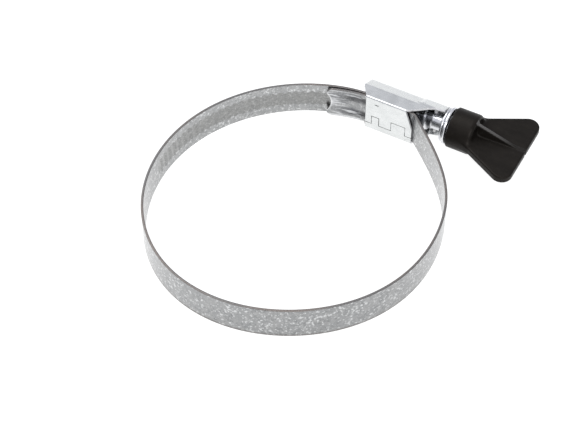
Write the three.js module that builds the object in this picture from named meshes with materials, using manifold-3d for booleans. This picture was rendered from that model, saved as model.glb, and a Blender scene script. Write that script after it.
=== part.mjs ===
// Worm-drive hose clamp, 50-70 mm size, shown fully open, with a thumb key on its screw.
// Millimetres. +X runs along the screw towards the thumb key, +Y from the ring out through the
// housing, +Z along the hose. The origin is the middle of the footprint, level with its lowest face.
//
// The band is one flexible strip on the real clamp. Here it is cut into short rigid lengths that
// hinge on each other, so the ring can close as the screw draws the toothed end through the housing.

import * as THREE from 'three';
import { mergeVertices } from 'three/addons/utils/BufferGeometryUtils.js';
import Module from 'manifold-3d';

// ---------- Where the ring stands ----------
const RING_X = -2.92;            // ring centre, measured from the middle of the footprint
const RING_Y = -7.35;
const BAND_LIFT = 0.9;           // the housing reaches this far below the band

// ---------- Band ----------
const BAND_WIDTH = 9;
const BAND_THICK = 0.6;
const MID_Z = BAND_WIDTH / 2;    // height of the screw axis above the band's lower edge
const RING_RADIUS = 35;          // mean inside radius, fully open
// How the open ring departs from a circle: lobes, height of the lobes, direction of the first one.
const RING_LOBES = [
  { count: 2, height: 1.09, toward: 70 },
  { count: 3, height: 0.19, toward: 92 },
  { count: 4, height: 0.20, toward: 70 },
];
const RING_FROM = 20;            // the free ring runs clockwise from this angle
const RING_TO = -248;            // to this one
const FIXED_Y = 35.73;           // mid-thickness of the fixed end inside the housing
const TOOTHED_Y = 36.55;         // mid-thickness of the toothed end, which passes over it
const BEND_X = 12.5;             // where the band bends down as it leaves the housing
const BEND_RADIUS = 2.2;
const BEND_ANGLE = 42;
const FLAT_FROM = 1.5;           // the toothed end is flat from here
const TOOTHED_TIP_X = 8.5;       // free end of the band
const TONGUE_LENGTH = 9.8;       // fixed end left of the housing
const TONGUE_NOTCH_RADIUS = 4.1;
const TONGUE_NOTCH_DEPTH = 1.2;
const TONGUE_CHAMFER = 1.7;
const TONGUE_DROOP = 0.24;        // it draws away from the toothed end by this much at its tip

// ---------- Cuts between the rigid lengths, in mm along the band from x = 0 ----------
const CUTS_RIGHT = [18.5, 47, 75];
const OPEN_CUT = 103;
const CUTS_LEFT = [132, 160, 188];
const LINK_LENGTH = 6;           // short length next to the toothed end
const TOOTHED_LENGTH = 9;
const CUT_GAP = 0.3;
const OPEN_GAP = 0.6;
const STEP_LENGTH = 1.9;         // longest straight facet along the band

// ---------- Teeth and worm ----------
const PITCH = 2;
const TEETH_LENGTH = 70;         // toothed part of the band
const TOOTH_HEIGHT = 0.55;
const TOOTH_BASE = 0.9;
const TOOTH_TOP = 0.5;
const TOOTH_SPAN = 5;            // across the band
const AXIS_Y = 40.2;             // screw axis, outward from the ring centre
const THREAD_RADIUS = 3.1;
const ROOT_RADIUS = 2.45;
const THREAD_STEPS = 20;         // facets in one turn
const THREAD_FROM = 1.6;
const THREAD_TO = 16.4;
const THREAD_BASE = 1.05;
const THREAD_CREST = 0.5;
const THREAD_SINK = 0.5;         // the thread's root lies this far inside the shank
const THREAD_RUNOUT = 0.4;       // shank of root size past the thread
const THREAD_ZERO = 0.5;         // a thread crest faces the ring half a pitch past this x
const TOOTH_SLANT = PITCH / (2 * Math.PI * 3);

// ---------- Screw shank, washer and head ----------
const SHANK_FROM = 0.4;
const SHANK_CHAMFER = 0.4;
const NECK_RADIUS = 2.2;
const NECK_TO = 19.2;
const NECK_TAPER = 0.3;
const SEAT_RADIUS = 3.0;         // shoulder that centres the washer
const SEAT_TO = 20.7;
const WASHER_FROM = 19.95;
const WASHER_THICK = 0.55;
const WASHER_BORE = 3.2;
const WASHER_RADIUS = 4.4;
const FLANGE_RADIUS = 4.8;
const FLANGE_THICK = 0.9;
const HEX_FLATS = 6;
const HEX_TO = 26.2;

// ---------- Thumb key ----------
const KEY_FROM = 21.95;
const HUB_RADIUS = 5.1;
const HUB_TO = 28.4;
const HUB_CHAMFER = 0.4;         // at the open end
const HUB_ROUND = 0.9;           // at the wing's end
const SOCKET_GAP = 0.15;
const WING_TO = 41.2;
const WING_ROOT = 5.8;           // half-widths of the wing
const WING_TIP = 12.65;
const WING_THICK = 2.0;
const WING_CORNER = 2.7;
const RIB_HEIGHT = 4.5;          // above the screw axis, where the rib leaves the hub
const RIB_WIDTH = 1.2;
const RIB_SHORT = 0.4;           // the rib stops this far before the wing's end
const RIB_OVERLAP = 1;           // and starts this far inside the hub
const RIB_SINK = 0.1;            // its tip lies this far below the wing's faces

// ---------- Housing ----------
const SHEET = 0.55;
const PLATE_Y = 34.6;            // face against the hose
const PLATE_CORNER = 0.35;       // outer corner between the plate and a cheek
const BASE_HALF = 5.4;
const SHOULDER_Y = 38.6;
const SHOULDER_HALF = 5.15;
const DOME_RADIUS = 4.0;
const HOOD_RADIUS = 4.2;         // the dome swells over the screw's neck
const HOOD_FROM = 13.3;
const HOUSING_LEFT = -1.4;
const HOUSING_RIGHT = 19.6;
const LEFT_EDGE = 2.0;           // each end is upright down to here, measured below the screw axis
const RIGHT_EDGE = 0.5;
const RIGHT_STEP = 2.3;          // short level edge before the right end slants back
const PLATE_LEFT = 0.9;
const PLATE_RIGHT = 12.9;
const PLATE_FOLD_RIGHT = 11.4;   // its right end slants back to here at the upper fold
const PLATE_SLANT_Z = 4;         // and is square below here
const LIP_FROM = 17.0;           // lip that holds the thread back
const LIP_THICK = 0.7;
const LIP_BORE = 2.6;
const SEAM_WIDTH = 0.16;
const SEAM_Z = 1.2;
const SEAM_TABS = [
  { from: 2.6, to: 4.6, top: 3.8 },
  { from: 7.9, to: 11.7, top: 4.0 },
];

const rad = THREE.MathUtils.degToRad;
const wasm = await Module();
wasm.setup();

// ---------- Solids ----------

function solidOf(geometry) {
  const bare = geometry.clone();
  for (const name of Object.keys(bare.attributes)) {
    if (name !== 'position') bare.deleteAttribute(name);
  }
  const merged = mergeVertices(bare, 1e-4);
  return new wasm.Manifold(new wasm.Mesh({
    numProp: 3,
    vertProperties: new Float32Array(merged.attributes.position.array),
    triVerts: new Uint32Array(merged.index.array),
  }));
}

function geometryOf(solid) {
  const mesh = solid.getMesh();
  const geometry = new THREE.BufferGeometry();
  geometry.setAttribute('position', new THREE.BufferAttribute(mesh.vertProperties, 3));
  geometry.setIndex(new THREE.BufferAttribute(mesh.triVerts, 1));
  return geometry;
}

// Outline in X and Y, raised along Z between two heights.
function prism(points, z0, z1) {
  const shape = new THREE.Shape(points.map(([x, y]) => new THREE.Vector2(x, y)));
  const geometry = new THREE.ExtrudeGeometry(shape, { depth: z1 - z0, bevelEnabled: false });
  geometry.translate(0, 0, z0);
  return geometry;
}

// Outline in Y and Z, run along X between two stations.
function beam(points, x0, x1) {
  const geometry = prism(points, x0, x1);
  return geometry.applyMatrix4(new THREE.Matrix4().set(
    0, 0, 1, 0,
    1, 0, 0, 0,
    0, 1, 0, 0,
    0, 0, 0, 1,
  ));
}

// Profile of [station, radius] pairs turned about the screw axis.
function turned(profile, segments = 36) {
  const points = profile.map(([x, radius]) => new THREE.Vector2(radius, x));
  const geometry = new THREE.LatheGeometry(points, segments);
  geometry.rotateZ(-Math.PI / 2);
  return geometry.translate(0, AXIS_Y, MID_Z);
}

// A plain ring round the screw axis.
function hoop(from, thick, bore, outside) {
  return solidOf(turned([
    [from, outside],
    [from + thick, outside],
    [from + thick, bore],
    [from, bore],
    [from, outside],
  ]));
}

function box(x0, x1, y0, y1, z0, z1) {
  const geometry = new THREE.BoxGeometry(x1 - x0, y1 - y0, z1 - z0);
  return geometry.translate((x0 + x1) / 2, (y0 + y1) / 2, (z0 + z1) / 2);
}

// ---------- The line of the band, mid-thickness, seen along the hose ----------

class RingCurve extends THREE.Curve {
  getPoint(t, target = new THREE.Vector2()) {
    const angle = rad(RING_FROM + (RING_TO - RING_FROM) * t);
    let radius = RING_RADIUS + BAND_THICK / 2;
    for (const lobe of RING_LOBES) {
      radius += lobe.height * Math.cos(lobe.count * (angle - rad(lobe.toward)));
    }
    return target.set(radius * Math.cos(angle), radius * Math.sin(angle));
  }
}

// A smooth curve from one point and heading to another, with handles a third of the chord long.
function easedCurve(start, startHeading, end, endHeading) {
  const reach = start.distanceTo(end) / 3;
  return new THREE.CubicBezierCurve(
    start,
    start.clone().addScaledVector(startHeading, reach),
    end.clone().addScaledVector(endHeading, -reach),
    end,
  );
}

function bandPath() {
  const ring = new RingCurve();
  const turn = rad(BEND_ANGLE);
  const bendCentre = new THREE.Vector2(BEND_X, FIXED_Y - BEND_RADIUS);
  const bend = new THREE.EllipseCurve(
    bendCentre.x, bendCentre.y, BEND_RADIUS, BEND_RADIUS, Math.PI / 2, Math.PI / 2 - turn, true,
  );
  const exitHeading = new THREE.Vector2(Math.cos(turn), -Math.sin(turn));
  const flatStart = new THREE.Vector2(FLAT_FROM, TOOTHED_Y);
  const path = new THREE.CurvePath();
  path.arcLengthDivisions = 2000;
  path.add(new THREE.LineCurve(new THREE.Vector2(0, FIXED_Y), new THREE.Vector2(BEND_X, FIXED_Y)));
  path.add(bend);
  path.add(easedCurve(bend.getPoint(1), exitHeading, ring.getPoint(0), ring.getTangent(0)));
  path.add(ring);
  path.add(easedCurve(ring.getPoint(1), ring.getTangent(1), flatStart, new THREE.Vector2(1, 0)));
  path.add(new THREE.LineCurve(flatStart, new THREE.Vector2(TOOTHED_TIP_X, TOOTHED_Y)));
  return path;
}

const PATH = bandPath();
const PATH_LENGTH = PATH.getLength();
const TOOTHED_CUT = PATH_LENGTH - TOOTHED_LENGTH;
const LINK_CUT = TOOTHED_CUT - LINK_LENGTH;
const LAST_TOOTH = PATH_LENGTH - PITCH;

// Point and outward normal at a distance along the band, stepped off by `offset` along the normal.
function station(distance, offset = 0) {
  const point = PATH.getPointAt(distance / PATH_LENGTH);
  const heading = PATH.getTangentAt(distance / PATH_LENGTH);
  const normal = new THREE.Vector2(-heading.y, heading.x);
  return point.addScaledVector(normal, offset);
}

function stations(from, to, offset) {
  const steps = Math.max(1, Math.ceil((to - from) / STEP_LENGTH));
  return Array.from({ length: steps + 1 }, (_, i) => station(from + (to - from) * i / steps, offset));
}

const pairs = (points) => points.map((point) => [point.x, point.y]);

// A length of band, closed between its outer and inner faces.
function strip(from, to) {
  const outer = stations(from, to, BAND_THICK / 2);
  const inner = stations(from, to, -BAND_THICK / 2).reverse();
  return solidOf(prism(pairs([...inner, ...outer]).reverse(), 0, BAND_WIDTH));
}

// One pressed tooth, slanted to the worm's lead and standing on the outer face.
function tooth(distance) {
  const root = BAND_THICK / 2 - 0.1;
  const top = BAND_THICK / 2 + TOOTH_HEIGHT;
  const profile = [
    [-TOOTH_BASE / 2, root],
    [TOOTH_BASE / 2, root],
    [TOOTH_TOP / 2, top],
    [-TOOTH_TOP / 2, top],
  ];
  const geometry = prism(profile, -TOOTH_SPAN / 2, TOOTH_SPAN / 2);
  geometry.applyMatrix4(new THREE.Matrix4().makeShear(0, 0, 0, 0, -TOOTH_SLANT, 0));
  const heading = PATH.getTangentAt(distance / PATH_LENGTH);
  geometry.rotateZ(Math.atan2(heading.y, heading.x));
  const centre = station(distance);
  return solidOf(geometry.translate(centre.x, centre.y, MID_Z));
}

// A length of band with every tooth that lies wholly on it.
function toothedStrip(from, to) {
  let solid = strip(from, to);
  for (let centre = LAST_TOOTH; centre > PATH_LENGTH - TEETH_LENGTH; centre -= PITCH) {
    if (centre - TOOTH_BASE > from && centre + TOOTH_BASE < to) solid = solid.add(tooth(centre));
  }
  return solid;
}

// One face of the tongue, stepped off from the line of the toothed end.
function tongueFace(from, to, side) {
  const steps = Math.ceil((to - from) / STEP_LENGTH);
  return Array.from({ length: steps + 1 }, (_, i) => {
    const share = i / steps;
    return station(from + (to - from) * share, FIXED_Y - TOOTHED_Y - TONGUE_DROOP * (1 - share) + side);
  });
}

// The fixed end: a notched tongue that lies inside the toothed end, the flat in the housing, the
// bend and the start of the ring.
function fixedEnd() {
  const tongueTo = PATH_LENGTH - TOOTHED_TIP_X - 0.2;
  const tongueFrom = tongueTo - TONGUE_LENGTH;
  const to = CUTS_RIGHT[0] - CUT_GAP / 2;
  const outer = [
    ...tongueFace(tongueFrom, tongueTo, BAND_THICK / 2),
    ...stations(BEND_X, to, BAND_THICK / 2),
  ];
  const inner = [
    ...tongueFace(tongueFrom, tongueTo, -BAND_THICK / 2),
    ...stations(BEND_X, to, -BAND_THICK / 2),
  ];
  const tip = station(tongueFrom, FIXED_Y - TOOTHED_Y).x;
  const notch = new THREE.CylinderGeometry(TONGUE_NOTCH_RADIUS, TONGUE_NOTCH_RADIUS, 12, 48);
  notch.translate(tip + TONGUE_NOTCH_DEPTH - TONGUE_NOTCH_RADIUS, PLATE_Y, MID_Z);
  const outline = pairs([...inner.reverse(), ...outer]).reverse();
  let solid = solidOf(prism(outline, 0, BAND_WIDTH)).subtract(solidOf(notch));
  for (const z of [0, BAND_WIDTH]) {
    const side = TONGUE_CHAMFER * Math.SQRT2;
    const corner = new THREE.BoxGeometry(side, 12, side).rotateY(Math.PI / 4);
    solid = solid.subtract(solidOf(corner.translate(tip, PLATE_Y, z)));
  }
  return solid;
}

// ---------- Housing ----------

// Arch section: flat plate, upright cheeks that lean in, and a dome round the screw axis.
function archSection(inset, domeRadius) {
  const radius = domeRadius - inset;
  const half = SHOULDER_HALF - inset;
  const lean = Math.atan2(half - radius, AXIS_Y - SHOULDER_Y);
  const steps = 20;
  const dome = Array.from({ length: steps + 1 }, (_, i) => {
    const angle = (Math.PI / 2 - lean) * (2 * i / steps - 1);
    return [AXIS_Y + radius * Math.cos(angle), MID_Z + radius * Math.sin(angle)];
  });
  const base = BASE_HALF - inset;
  const plate = PLATE_Y + inset;
  return [
    [plate, MID_Z - base + PLATE_CORNER],
    [plate + PLATE_CORNER, MID_Z - base],
    [SHOULDER_Y, MID_Z - half],
    ...dome,
    [SHOULDER_Y, MID_Z + half],
    [plate + PLATE_CORNER, MID_Z + base],
    [plate, MID_Z + base - PLATE_CORNER],
  ];
}

// Side view of the housing. Both ends are cut back slantwise towards the plate.
function housingOutline() {
  return [
    [PLATE_LEFT, PLATE_Y - 1],
    [PLATE_RIGHT, PLATE_Y - 1],
    [PLATE_RIGHT, PLATE_Y + 0.2],
    [HOUSING_RIGHT - RIGHT_STEP, AXIS_Y - RIGHT_EDGE],
    [HOUSING_RIGHT, AXIS_Y - RIGHT_EDGE],
    [HOUSING_RIGHT, AXIS_Y + HOOD_RADIUS + 1],
    [HOUSING_LEFT, AXIS_Y + HOOD_RADIUS + 1],
    [HOUSING_LEFT, AXIS_Y - LEFT_EDGE],
    [PLATE_LEFT, PLATE_Y + 0.2],
  ];
}

// The seam where the folded sheet meets itself, with two tabs that lock it.
function seam() {
  const cut = SEAM_WIDTH / 2;
  const from = PLATE_LEFT - 1;
  const to = PLATE_RIGHT + 1;
  const y0 = PLATE_Y - 1;
  const y1 = PLATE_Y + SHEET + 0.2;
  const runs = [from, ...SEAM_TABS.flatMap((tab) => [tab.from, tab.to]), to];
  const pieces = [];
  for (let i = 0; i < runs.length; i += 2) {
    pieces.push(box(runs[i] - cut, runs[i + 1] + cut, y0, y1, SEAM_Z - cut, SEAM_Z + cut));
  }
  for (const tab of SEAM_TABS) {
    pieces.push(box(tab.from - cut, tab.from + cut, y0, y1, SEAM_Z - cut, tab.top + cut));
    pieces.push(box(tab.to - cut, tab.to + cut, y0, y1, SEAM_Z - cut, tab.top + cut));
    pieces.push(box(tab.from - cut, tab.to + cut, y0, y1, tab.top - cut, tab.top + cut));
  }
  return pieces.map(solidOf).reduce((whole, piece) => whole.add(piece));
}

// Cuts the right end back towards the upper fold, across the plate and up the cheek.
function slantedEnd(solid) {
  const fold = new THREE.Vector3(PLATE_FOLD_RIGHT, PLATE_Y, MID_Z + BASE_HALF);
  const square = new THREE.Vector3(PLATE_RIGHT, PLATE_Y, PLATE_SLANT_Z);
  const top = new THREE.Vector3(HOUSING_RIGHT - RIGHT_STEP, AXIS_Y - RIGHT_EDGE, MID_Z + SHOULDER_HALF);
  const plane = new THREE.Plane().setFromCoplanarPoints(fold, top, square);
  const inward = plane.normal.x < 0 ? plane : plane.negate();
  return solid.trimByPlane(inward.normal.toArray(), -inward.constant);
}

function housing() {
  const ends = [HOUSING_LEFT - 1, HOUSING_RIGHT + 1];
  const hoodEnds = [HOOD_FROM, HOUSING_RIGHT + 1];
  const lip = hoop(LIP_FROM, LIP_THICK, LIP_BORE, HOOD_RADIUS - SHEET / 2);
  const blank = solidOf(beam(archSection(0, DOME_RADIUS), ...ends))
    .add(solidOf(beam(archSection(0, HOOD_RADIUS), ...hoodEnds)));
  const hollow = solidOf(beam(archSection(SHEET, DOME_RADIUS), ends[0] - 1, ends[1] + 1))
    .add(solidOf(beam(archSection(SHEET, HOOD_RADIUS), hoodEnds[0] + SHEET, ends[1] + 1)));
  const cut = blank.subtract(hollow)
    .add(lip)
    .intersect(solidOf(prism(housingOutline(), -2, BAND_WIDTH + 2)))
    .subtract(seam());
  return slantedEnd(cut);
}

// ---------- Screw, washer and key ----------

// A right-handed helix round the screw axis. Its frames keep the section square to the axis.
class Helix extends THREE.Curve {
  angleAt(t) {
    const x = THREAD_FROM + (THREAD_TO - THREAD_FROM) * t;
    return 2 * Math.PI * (x - THREAD_ZERO) / PITCH;
  }

  getPoint(t, target = new THREE.Vector3()) {
    const angle = this.angleAt(t);
    return target.set(
      THREAD_FROM + (THREAD_TO - THREAD_FROM) * t,
      AXIS_Y + ROOT_RADIUS * Math.cos(angle),
      MID_Z + ROOT_RADIUS * Math.sin(angle),
    );
  }

  getPointAt(t, target) {
    return this.getPoint(t, target);
  }

  computeFrenetFrames(segments) {
    const tangents = [];
    const normals = [];
    const binormals = [];
    for (let i = 0; i <= segments; i += 1) {
      const angle = this.angleAt(i / segments);
      tangents.push(this.getTangent(i / segments));
      normals.push(new THREE.Vector3(0, Math.cos(angle), Math.sin(angle)));
      binormals.push(new THREE.Vector3(-1, 0, 0));
    }
    return { tangents, normals, binormals };
  }
}

function wormScrew() {
  const turns = (THREAD_TO - THREAD_FROM) / PITCH;
  const rise = THREAD_RADIUS - ROOT_RADIUS;
  const section = new THREE.Shape([
    new THREE.Vector2(-THREAD_SINK, -THREAD_BASE / 2),
    new THREE.Vector2(rise, -THREAD_CREST / 2),
    new THREE.Vector2(rise, THREAD_CREST / 2),
    new THREE.Vector2(-THREAD_SINK, THREAD_BASE / 2),
  ]);
  const thread = new THREE.ExtrudeGeometry(section, {
    steps: Math.round(turns * THREAD_STEPS),
    extrudePath: new Helix(),
  });
  const flangeFrom = SEAT_TO - 0.05;
  const shank = turned([
    [SHANK_FROM, 0],
    [SHANK_FROM, ROOT_RADIUS - SHANK_CHAMFER],
    [SHANK_FROM + SHANK_CHAMFER, ROOT_RADIUS],
    [THREAD_TO + THREAD_RUNOUT, ROOT_RADIUS],
    [THREAD_TO + THREAD_RUNOUT + NECK_TAPER, NECK_RADIUS],
    [NECK_TO, NECK_RADIUS],
    [NECK_TO + NECK_TAPER, SEAT_RADIUS],
    [flangeFrom, SEAT_RADIUS],
    [flangeFrom, FLANGE_RADIUS],
    [flangeFrom + FLANGE_THICK, FLANGE_RADIUS],
    [flangeFrom + FLANGE_THICK, 0],
  ]);
  const hex = new THREE.CylinderGeometry(
    HEX_FLATS / Math.sqrt(3), HEX_FLATS / Math.sqrt(3), HEX_TO - SEAT_TO, 6,
  );
  hex.rotateZ(-Math.PI / 2);
  hex.translate((HEX_TO + SEAT_TO) / 2, AXIS_Y, MID_Z);
  return solidOf(shank).add(solidOf(thread)).add(solidOf(hex));
}

// Wing outline with rounded outer corners.
function wingOutline() {
  const shape = new THREE.Shape();
  const slope = Math.atan2(WING_TIP - WING_ROOT, WING_TO - HUB_TO);
  const root = HUB_TO - 2;
  const back = WING_CORNER * (Math.tan(slope) + 1 / Math.cos(slope));
  const centreX = WING_TO - WING_CORNER;
  const centreY = WING_TIP - back;
  shape.moveTo(root, -WING_ROOT + 2 * Math.tan(slope));
  shape.absarc(centreX, -centreY, WING_CORNER, -Math.PI / 2 - slope, 0, false);
  shape.absarc(centreX, centreY, WING_CORNER, 0, Math.PI / 2 + slope, false);
  shape.lineTo(root, WING_ROOT - 2 * Math.tan(slope));
  return shape.extractPoints(7).shape.map((point) => [point.x, AXIS_Y + point.y]);
}

function thumbKey() {
  const quarter = Array.from({ length: 6 }, (_, i) => {
    const angle = Math.PI / 2 * (1 - i / 5);
    return [
      HUB_TO - HUB_ROUND + HUB_ROUND * Math.cos(angle),
      HUB_RADIUS - HUB_ROUND + HUB_ROUND * Math.sin(angle),
    ];
  });
  const hub = turned([
    [KEY_FROM, 0],
    [KEY_FROM, HUB_RADIUS - HUB_CHAMFER],
    [KEY_FROM + HUB_CHAMFER, HUB_RADIUS],
    ...quarter,
    [HUB_TO, 0],
  ]);
  const rib = prism([
    [HUB_TO - RIB_OVERLAP, -RIB_HEIGHT],
    [WING_TO - RIB_SHORT, -WING_THICK / 2 + RIB_SINK],
    [WING_TO - RIB_SHORT, WING_THICK / 2 - RIB_SINK],
    [HUB_TO - RIB_OVERLAP, RIB_HEIGHT],
  ], -RIB_WIDTH / 2, RIB_WIDTH / 2);
  rib.rotateX(Math.PI / 2);
  rib.translate(0, AXIS_Y, MID_Z);
  const wing = prism(wingOutline(), MID_Z - WING_THICK / 2, MID_Z + WING_THICK / 2);
  const socketRadius = (HEX_FLATS / 2 + SOCKET_GAP) / Math.cos(Math.PI / 6);
  const socketTo = HEX_TO + SOCKET_GAP;
  const socket = new THREE.CylinderGeometry(socketRadius, socketRadius, socketTo - KEY_FROM + 1, 6);
  socket.rotateZ(-Math.PI / 2);
  socket.translate((socketTo + KEY_FROM - 1) / 2, AXIS_Y, MID_Z);
  return solidOf(hub).add(solidOf(rib)).add(solidOf(wing)).subtract(solidOf(socket));
}

// ---------- Assembly ----------

const ZINC = { color: 0xa8abae, roughness: 0.38, metalness: 1 };
const BRIGHT_ZINC = { color: 0xc8cacd, roughness: 0.25, metalness: 1 };
const KEY_PLASTIC = { color: 0x211e1b, roughness: 0.5, metalness: 0 };

const clamp = new THREE.Group();
clamp.position.set(RING_X, RING_Y, BAND_LIFT);

function place(name, solid, finish) {
  const mesh = new THREE.Mesh(geometryOf(solid), new THREE.MeshStandardMaterial(finish));
  mesh.name = name;
  clamp.add(mesh);
}

place('housing', housing(), BRIGHT_ZINC);
place('band_fixed_end', fixedEnd(), ZINC);

const rightCuts = [...CUTS_RIGHT, OPEN_CUT];
for (let i = 0; i < CUTS_RIGHT.length; i += 1) {
  const gap = rightCuts[i + 1] === OPEN_CUT ? OPEN_GAP : CUT_GAP;
  place(`band_right_${i + 1}`, strip(rightCuts[i] + CUT_GAP / 2, rightCuts[i + 1] - gap / 2), ZINC);
}

const leftCuts = [TOOTHED_CUT, LINK_CUT, ...CUTS_LEFT.toReversed(), OPEN_CUT];
for (let i = 0; i < leftCuts.length - 1; i += 1) {
  const gap = leftCuts[i + 1] === OPEN_CUT ? OPEN_GAP : CUT_GAP;
  const solid = toothedStrip(leftCuts[i + 1] + gap / 2, leftCuts[i] - CUT_GAP / 2);
  place(`band_left_${i + 1}`, solid, ZINC);
}
place('band_toothed_end', toothedStrip(TOOTHED_CUT + CUT_GAP / 2, PATH_LENGTH), ZINC);

place('worm_screw', wormScrew(), BRIGHT_ZINC);
place('thrust_washer', hoop(WASHER_FROM, WASHER_THICK, WASHER_BORE, WASHER_RADIUS), BRIGHT_ZINC);
place('thumb_key', thumbKey(), KEY_PLASTIC);

const assembly = new THREE.Group();
assembly.add(clamp);

export default assembly;
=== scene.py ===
import math

import bmesh
import bpy
import numpy as np
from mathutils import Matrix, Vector


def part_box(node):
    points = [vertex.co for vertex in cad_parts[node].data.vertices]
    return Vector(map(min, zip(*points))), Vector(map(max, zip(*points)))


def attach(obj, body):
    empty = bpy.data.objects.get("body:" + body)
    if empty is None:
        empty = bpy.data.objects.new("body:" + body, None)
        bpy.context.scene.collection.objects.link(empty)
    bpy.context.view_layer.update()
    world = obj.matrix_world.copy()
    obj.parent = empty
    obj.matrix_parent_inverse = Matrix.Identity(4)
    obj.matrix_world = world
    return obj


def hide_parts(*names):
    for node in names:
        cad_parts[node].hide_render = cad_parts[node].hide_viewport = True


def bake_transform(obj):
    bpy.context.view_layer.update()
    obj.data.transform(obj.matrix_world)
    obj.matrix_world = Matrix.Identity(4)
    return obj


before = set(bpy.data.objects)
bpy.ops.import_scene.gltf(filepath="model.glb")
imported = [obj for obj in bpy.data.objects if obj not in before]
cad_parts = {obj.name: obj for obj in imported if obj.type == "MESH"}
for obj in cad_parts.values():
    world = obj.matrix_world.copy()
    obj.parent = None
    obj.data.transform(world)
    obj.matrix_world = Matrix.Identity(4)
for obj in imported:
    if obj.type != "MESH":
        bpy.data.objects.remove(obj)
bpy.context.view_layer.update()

# Hose clamp with a thumb key. Shapes are worked out in millimetres in the ring's own frame: the
# origin is the ring centre at the band's lower edge, +X runs along the screw towards the key and
# +Y outward through the housing. Meshes are made in metres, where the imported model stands.

MM = 0.001

# ---------- Band ----------
BAND_WIDTH = 9
BAND_THICK = 0.6
MID_Z = BAND_WIDTH / 2
EDGE_ROUND = 0.13
RING_RADIUS = 35
RING_LOBES = [(2, 1.09, 70), (3, 0.19, 92), (4, 0.20, 70)]   # count, height, first direction
RING_FROM = 20
RING_TO = -248
FIXED_Y = 35.73
TOOTHED_Y = 36.55
BEND_X = 12.5
BEND_RADIUS = 2.2
BEND_ANGLE = 42
FLAT_FROM = 1.5
TOOTHED_TIP_X = 8.5
TONGUE_LENGTH = 9.8
TONGUE_NOTCH_RADIUS = 4.1
TONGUE_NOTCH_DEPTH = 1.2
TONGUE_HORN = 2.85               # half the spread of its two horns
TONGUE_CORNER = 1.8              # length of its rounded corners
TONGUE_DROOP = 0.24              # it draws away from the toothed end by this much at its tip
TONGUE_BEAD = 0.13               # height of the tongue's two lengthwise beads
BEAD_OFF = 2.1                   # how far they lie from its middle
BEAD_WIDTH = 0.75
TONGUE_EASE = 0.2                # length over which the tongue runs into the straight strip
PATH_STEP = 0.02
BEND_FROM = 12.0                 # the stretch of sharp bend, in mm along the band
BEND_TO = 14.6
TOOTHED_STEP = 0.16              # distances between the mesh's stations
BEND_STEP = 0.2
PLAIN_STEP = 0.6

# Hinges of the band, in mm along it, with the bodies before and after each.
HINGES = [
    (18.5, "housing", "right_1"),
    (47.0, "right_1", "right_2"),
    (75.0, "right_2", "right_3"),
    (132.0, "left_5", "left_4"),
    (160.0, "left_4", "left_3"),
    (188.0, "left_3", "left_2"),
    (215.86, "left_2", "left_1"),
    (221.86, "left_1", "toothed_end"),
]
JOINS = [32.75, 61.0, 103.0, 146.0, 174.0, 202.0, 218.86]    # where one visible length meets the next
STANDS_FOR = [
    ["band_fixed_end"],
    ["band_right_1"],
    ["band_right_2", "band_right_3"],
    ["band_left_5"],
    ["band_left_4"],
    ["band_left_3"],
    ["band_left_2"],
    ["band_left_1", "band_toothed_end"],
]
BLEND_REACH = 2.5
JOIN_GAP = 0.01

# ---------- Teeth and worm ----------
PITCH = 2
TEETH_LENGTH = 70
TOOTH_HEIGHT = 0.55
TOOTH_BASE = 0.9
TOOTH_TOP = 0.5
TOOTH_SPAN = 5
TOOTH_SLANT = PITCH / (2 * math.pi * 3)
DIMPLE_DEPTH = 0.17              # hollow behind each tooth, soft on the inside of the band
PRESSED_EDGE = 0.22              # how far the pressed stretch's edge waves in and out
AXIS_Y = 40.2
THREAD_RADIUS = 3.1
ROOT_RADIUS = 2.45
THREAD_FROM = 1.6
THREAD_TO = 16.4
THREAD_BASE = 1.05
THREAD_CREST = 0.5
THREAD_ZERO = 0.5
THREAD_FADE = 0.9                # length over which it rises out of the root at each end

# ---------- Screw, washer, key ----------
SHANK_FROM = 0.4
NECK_RADIUS = 2.2
NECK_TO = 19.2
SEAT_RADIUS = 3.0
SEAT_TO = 20.65
FLANGE_RADIUS = 4.8
FLANGE_THICK = 0.9
FLANGE_ROUND = 0.35
HEX_FLATS = 6
HEX_TO = 26.2
WASHER_FROM = 19.95
WASHER_THICK = 0.55
WASHER_BORE = 3.2
WASHER_RADIUS = 4.4
WASHER_ROUND = 0.24
TURN_STEPS = 72
KEY_FROM = 21.95
HUB_RADIUS = 5.1
HUB_TO = 28.4
HUB_ROUND = 1.0
MOUTH_ROUND = 0.35               # rounding of the hub's open end
WING_TO = 41.1
WING_ROOT = 5.8
WING_TIP = 12.65
WING_THICK = 2.0
WING_CORNER = 2.7
WING_EDGE = 0.34                 # rounding of its edges
WING_DRAFT = 0.004               # how much it thins per mm
RIB_HEIGHT = 4.5
RIB_END_HEIGHT = 0.7
RIB_TOP = 0.8                    # width of the fin's crest; it spreads towards the wing
RIB_SPREAD = 0.12
RIB_ROUND = 0.35
HUB_FILLET = 1.5                 # where the wing leaves the hub
FIN_FILLET = 0.3
SOCKET_GAP = 0.15
GATE_RADIUS = 0.33               # the mould's small notch in the wing's end
KEY_CELL = 0.24                  # grid that the key's surface is found on

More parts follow.
